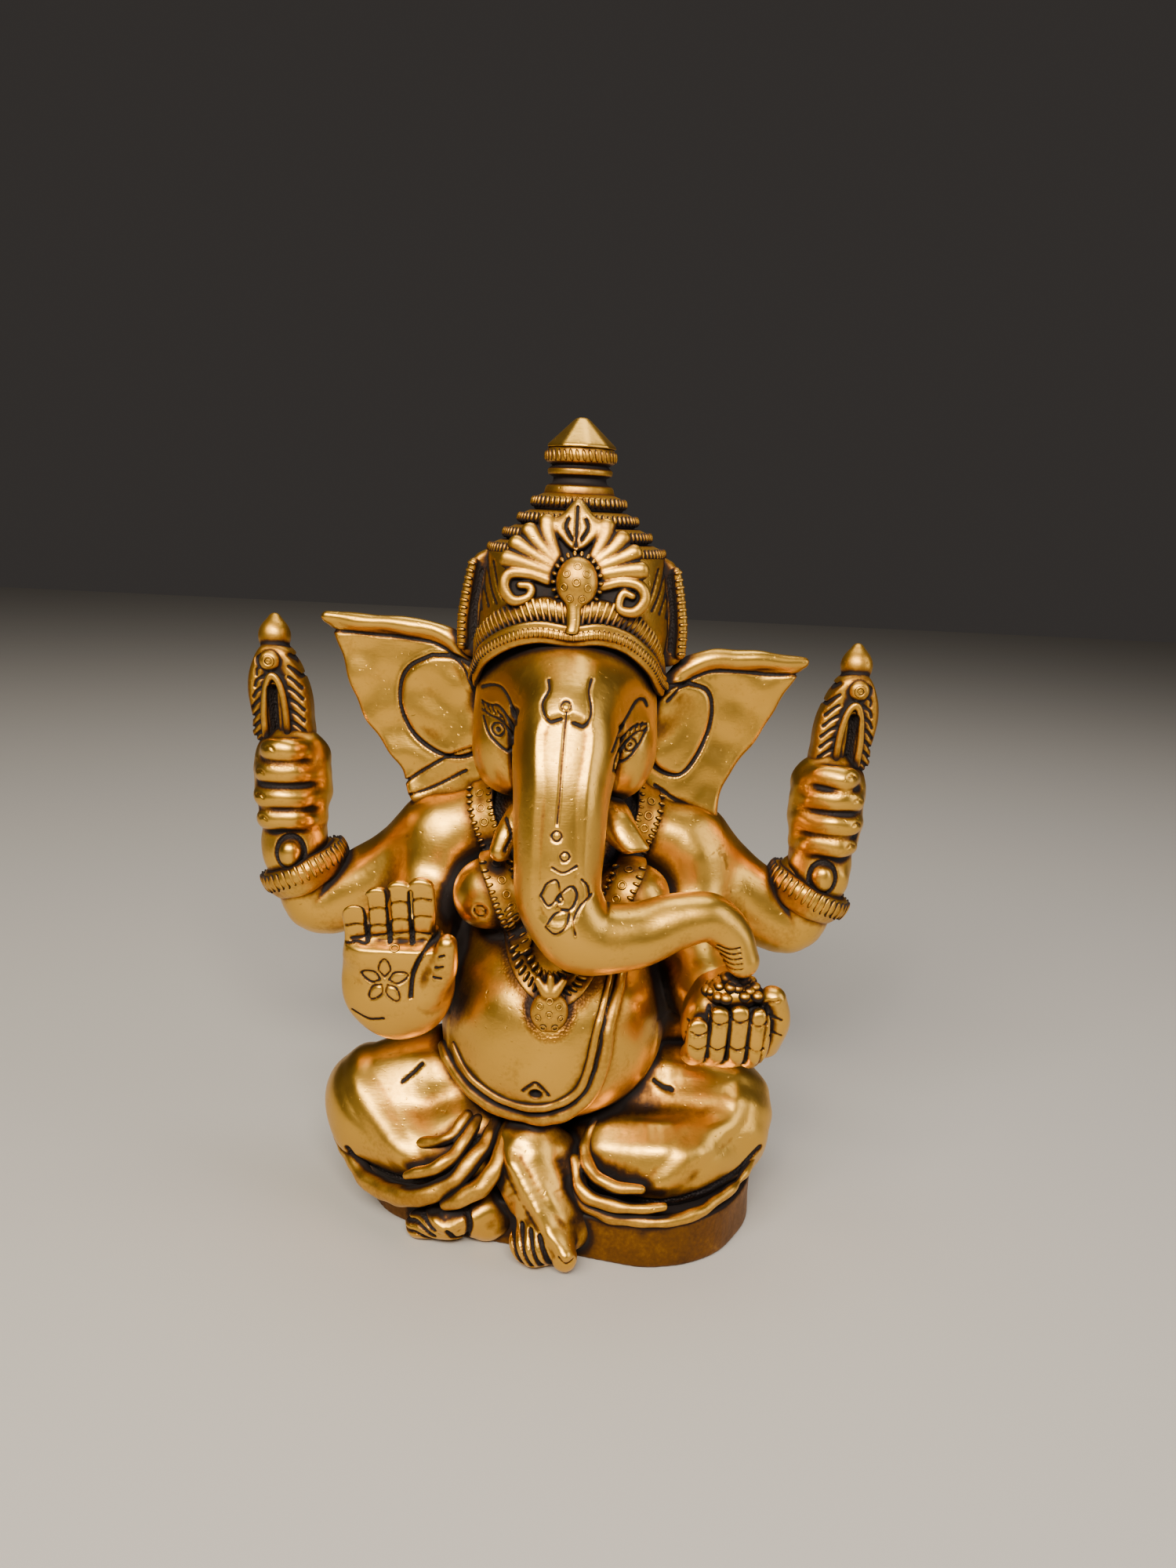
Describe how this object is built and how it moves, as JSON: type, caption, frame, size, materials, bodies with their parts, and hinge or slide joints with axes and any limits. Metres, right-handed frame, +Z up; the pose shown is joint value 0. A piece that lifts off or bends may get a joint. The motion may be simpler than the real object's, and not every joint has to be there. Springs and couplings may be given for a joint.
{
  "type": "ganesha idol",
  "caption": "Seated four-armed elephant-headed brass idol with a stepped crown, raised emblems, a blessing hand and a bowl of sweets, on a low hollow plinth.",
  "frame": {"origin": "middle of the whole figure's box, on the floor under the plinth", "axes": "+Z up, the figure faces -Y, and its own left hand is on +X"},
  "size_m": [0.1224, 0.063, 0.15],
  "materials": {
    "polished_brass": "cast brass, hand polished, with brown patina left in the hollows",
    "chased_brass": "cast brass, chased and punched, with dark patina between the raised parts",
    "cast_brass": "cast brass, filed, with an even brown patina"
  },
  "bodies": {
    "root": {"torso": "polished_brass", "head": "polished_brass", "trunk": "polished_brass", "right_tusk": "polished_brass", "left_tusk": "polished_brass", "right_ear": "polished_brass", "left_ear": "polished_brass", "right_thigh": "polished_brass", "left_thigh": "polished_brass", "right_shin": "polished_brass", "left_shin": "polished_brass", "right_foot": "polished_brass", "left_foot": "polished_brass", "right_back_arm": "polished_brass", "left_back_arm": "polished_brass", "right_fist": "polished_brass", "left_fist": "polished_brass", "right_forearm": "polished_brass", "left_forearm": "polished_brass", "right_palm": "polished_brass", "left_palm": "polished_brass", "right_fingers": "polished_brass", "left_fingers": "polished_brass", "right_thumb": "polished_brass", "left_thumb": "polished_brass", "finial_cone": "polished_brass", "right_pleats": "chased_brass", "left_pleats": "chased_brass", "right_hem": "chased_brass", "left_hem": "chased_brass", "brow_band": "chased_brass", "fluted_band": "chased_brass", "crown_dome": "chased_brass", "crown_tier_1": "chased_brass", "crown_tier_2": "chased_brass", "crown_tier_3": "chased_brass", "crown_tier_4": "chased_brass", "finial_stem": "chased_brass", "finial_rope_ring": "chased_brass", "crown_jewel": "chased_brass", "crown_flower": "chased_brass", "right_crown_wing": "chased_brass", "left_crown_wing": "chased_brass", "right_cuff": "chased_brass", "left_cuff": "chased_brass", "right_emblem": "chased_brass", "left_emblem": "chased_brass", "sweets": "chased_brass", "right_collar": "chased_brass", "left_collar": "chased_brass", "necklace": "chased_brass", "pendant": "chased_brass", "belly_thread": "chased_brass", "plinth": "cast_brass"}
  },
  "joints": []
}
